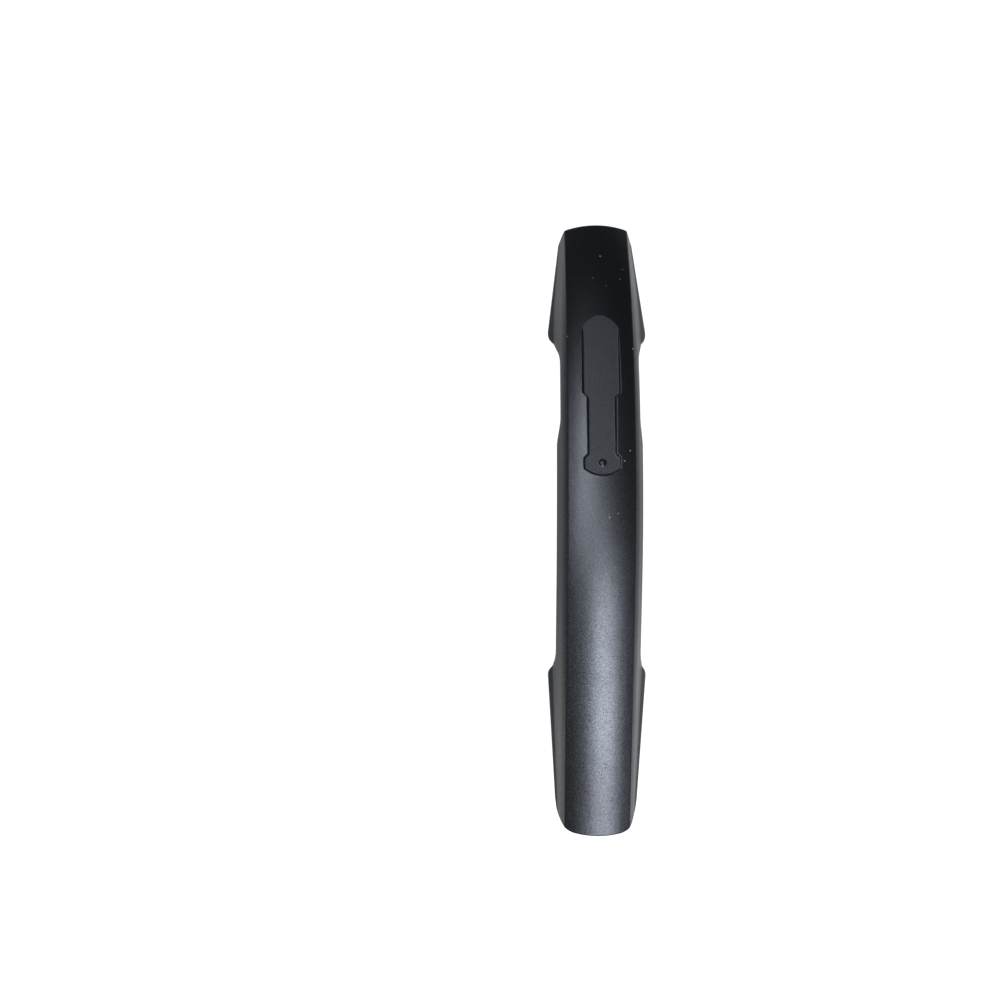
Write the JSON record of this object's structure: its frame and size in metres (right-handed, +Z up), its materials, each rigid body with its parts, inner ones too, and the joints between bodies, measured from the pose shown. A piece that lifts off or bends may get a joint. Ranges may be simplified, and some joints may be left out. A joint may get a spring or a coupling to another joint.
{
  "type": "front bicycle mudguard",
  "caption": "Arched front bicycle mudguard: one moulded shell with a crowned top, leaning side walls, flaring wings at both ends and a sunk seat for its bracket.",
  "frame": {"origin": "middle of the footprint, on the surface that the guard's two ends stand on", "axes": "+Y along the guard towards its front tip, +Z up out of the crown, +X across"},
  "size_m": [0.0673, 0.4184, 0.0553],
  "materials": {
    "black_plastic": "satin black with a fine spark-eroded grain"
  },
  "bodies": {
    "root": {"mudguard": "black_plastic"}
  },
  "joints": []
}
